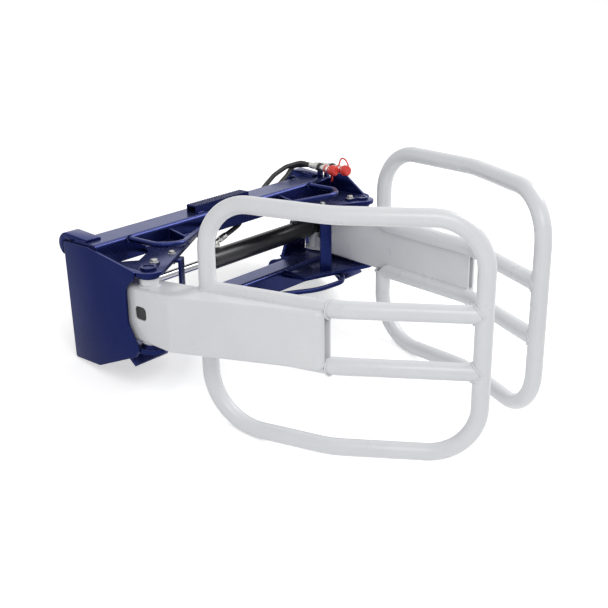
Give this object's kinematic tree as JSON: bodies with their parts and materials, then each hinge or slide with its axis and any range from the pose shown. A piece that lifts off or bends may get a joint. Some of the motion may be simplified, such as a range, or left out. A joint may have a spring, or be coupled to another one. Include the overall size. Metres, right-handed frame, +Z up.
{
  "type": "bale grabber",
  "caption": "Front-loader bale grabber: wide hitch frame with hooked brackets, bent-tube hoop arms on upright pivots and one cross cylinder that squeezes them round a bale.",
  "frame": {"origin": "on the floor under the middle of the grabber's bounding box, parked", "axes": "+Z up, -Y forward along the arms, +X towards the end with the hydraulic couplings"},
  "size_m": [1.3, 1.483, 0.9276],
  "materials": {
    "frame_paint": "gloss navy paint",
    "arm_paint": "gloss white paint",
    "cylinder_paint": "gloss black paint",
    "rod_chrome": "polished",
    "zinc_steel": "zinc plated",
    "red_plastic": "moulded",
    "hose_rubber": "satin"
  },
  "bodies": {
    "frame": {"top_beam": "frame_paint", "bottom_beam": "frame_paint", "end_plate_near": "frame_paint", "end_plate_far": "frame_paint", "top_lugs": "frame_paint", "bottom_lugs": "frame_paint", "lug_straps": "frame_paint", "top_guard_loops": "frame_paint", "bottom_guard_loops": "frame_paint", "gussets": "frame_paint", "step_tread": "frame_paint", "hitch_hooks": "frame_paint", "hitch_post_near": "frame_paint", "hitch_post_far": "frame_paint", "hitch_bracket_near": "frame_paint", "hitch_bracket_far": "frame_paint", "pivot_pin_near": "frame_paint", "pivot_pin_far": "frame_paint", "coupling_holder": "frame_paint", "couplings": "zinc_steel", "dust_caps": "red_plastic", "hoses": "hose_rubber"},
    "far_arm": {"far_hoop_upper": "arm_paint", "far_hoop_lower": "arm_paint", "far_cross_tubes": "arm_paint", "far_arm_top_plate": "arm_paint", "far_arm_bottom_plate": "arm_paint", "far_arm_outer_wall": "arm_paint", "far_arm_inner_panel": "arm_paint", "far_pivot_tube": "arm_paint", "far_cylinder_pin": "arm_paint"},
    "near_arm": {"near_hoop_upper": "arm_paint", "near_hoop_lower": "arm_paint", "near_cross_tubes": "arm_paint", "near_arm_top_plate": "arm_paint", "near_arm_bottom_plate": "arm_paint", "near_arm_outer_wall": "arm_paint", "near_arm_inner_panel": "arm_paint", "near_pivot_tube": "arm_paint", "near_cylinder_pin": "arm_paint"},
    "barrel": {"barrel": "cylinder_paint", "barrel_cap": "cylinder_paint", "gland": "cylinder_paint", "barrel_eye": "cylinder_paint", "port_fittings": "zinc_steel", "hose_tails": "hose_rubber"},
    "rod": {"rod": "rod_chrome", "rod_eye": "cylinder_paint"}
  },
  "joints": [
    {"name": "far_arm_swing", "type": "hinge", "parent": "frame", "child": "far_arm", "pos_m": [0.587, 0.32193, 0.31185], "axis": [0, 0.2505, 0.9681], "range_deg": [0, 35]},
    {"name": "near_arm_swing", "type": "hinge", "parent": "frame", "child": "near_arm", "pos_m": [-0.587, 0.32193, 0.31185], "axis": [0, -0.2505, -0.9681], "range_deg": [0, 35]},
    {"name": "barrel_pivot", "type": "hinge", "parent": "far_arm", "child": "barrel", "pos_m": [0.59, 0.55686, 0.24176], "axis": [0, -0.2505, -0.9681], "range_deg": [0, 35]},
    {"name": "rod_slide", "type": "slide", "parent": "barrel", "child": "rod", "axis": [1, 0, 0], "range_m": [0, 0.2867]}
  ],
  "couplings": [
    {"joint": "near_arm_swing", "follows": "far_arm_swing", "ratio": 1},
    {"joint": "barrel_pivot", "follows": "far_arm_swing", "ratio": 1},
    {"joint": "rod_slide", "follows": "far_arm_swing", "m_per_rad": 0.469}
  ]
}
